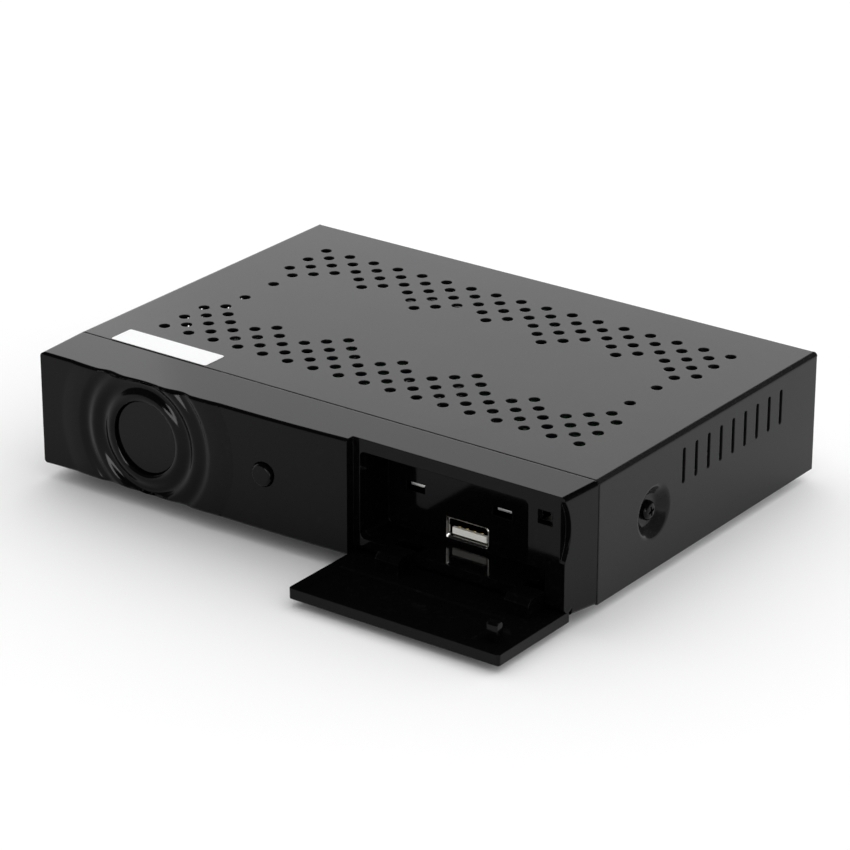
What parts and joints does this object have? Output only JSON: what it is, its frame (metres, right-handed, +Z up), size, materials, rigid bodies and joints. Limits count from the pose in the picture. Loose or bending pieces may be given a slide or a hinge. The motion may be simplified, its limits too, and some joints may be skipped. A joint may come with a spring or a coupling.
{
  "type": "satellite television receiver",
  "caption": "Compact black set-top box with perforated steel cover, rippled gloss front, round dark window, push button and fold-down flap.",
  "frame": {"origin": "on the surface it stands on, in the middle of its footprint with the flap down", "axes": "+X to the right seen from the front, +Y to the back, +Z up"},
  "size_m": [0.175, 0.1606, 0.0384],
  "materials": {
    "cover_paint": "satin dark paint",
    "tray_steel": "plain zinc-coated sheet",
    "gloss_black": "polished",
    "window_black": "polished, dark and slightly see-through",
    "satin_black": "fine grain",
    "nickel": "bright plate",
    "steel": "bright zinc",
    "white_plastic": "fine grain",
    "gold_plate": "thin gold plate",
    "board_green": "solder mask",
    "grey_ribbon": "satin",
    "light_green": "clear tinted",
    "chip_black": "moulded",
    "aluminium": "extruded",
    "can_blue": "shrink sleeve",
    "ferrite": "pressed powder",
    "yellow_plastic": "moulded",
    "red_plastic": "moulded",
    "brass": "turned",
    "rubber": "matte",
    "paper": "coated"
  },
  "bodies": {
    "case": {"top_cover": "cover_paint", "chassis_tray": "tray_steel", "rear_panel": "tray_steel", "front_bezel": "gloss_black", "lens_window": "window_black", "catch_clip": "steel", "compartment_liner": "gloss_black", "shield_plate": "steel", "usb_shell": "nickel", "usb_tongue": "white_plastic", "usb_contacts": "gold_plate", "front_board": "board_green", "front_board_screws": "steel", "tact_switch": "chip_black", "ir_sensor": "chip_black", "status_lights": "light_green", "ribbon_cable": "grey_ribbon", "ribbon_sockets": "white_plastic", "main_board": "board_green", "board_standoffs": "brass", "board_screws": "steel", "decoder_chip": "chip_black", "heat_sink": "aluminium", "memory_chips": "chip_black", "capacitors": "can_blue", "power_coils": "ferrite", "tuner_can": "tray_steel", "f_sockets": "nickel", "f_inserts": "white_plastic", "f_nuts": "nickel", "av_block": "satin_black", "av_shells": "nickel", "av_insert_yellow": "yellow_plastic", "av_insert_white": "white_plastic", "av_insert_red": "red_plastic", "hdmi_shell": "nickel", "hdmi_tongue": "satin_black", "lan_jack": "satin_black", "lan_contacts": "gold_plate", "data_jack": "satin_black", "dc_inlet": "satin_black", "dc_pin": "nickel", "switch_frame": "satin_black", "side_screws": "steel", "rear_screws": "steel", "base_screws": "steel", "rubber_feet": "rubber", "cover_sticker": "paper"},
    "flap": {"flap_panel": "gloss_black", "flap_lugs": "gloss_black", "flap_pins": "steel", "flap_latch": "satin_black"},
    "button": {"standby_button": "gloss_black"},
    "plunger": {"tact_plunger": "white_plastic"},
    "rocker": {"power_rocker": "satin_black"}
  },
  "joints": [
    {"name": "flap_hinge", "type": "hinge", "parent": "case", "child": "flap", "pos_m": [0, -0.0499, 0.0074], "axis": [-1, 0, 0], "range_deg": [0, 90]},
    {"name": "button_press", "type": "slide", "parent": "case", "child": "button", "axis": [0, 1, 0], "range_m": [0, 0.0005], "stiffness_N_per_m": 1200, "springref_m": -0.0005},
    {"name": "plunger_press", "type": "slide", "parent": "case", "child": "plunger", "axis": [0, 1, 0], "range_m": [0, 0.0005]},
    {"name": "rocker_tilt", "type": "hinge", "parent": "case", "child": "rocker", "pos_m": [-0.07314, 0.0688, 0.0206], "axis": [0, 0, 1], "range_deg": [0, 20]}
  ],
  "couplings": [
    {"joint": "plunger_press", "follows": "button_press", "ratio": 1}
  ]
}
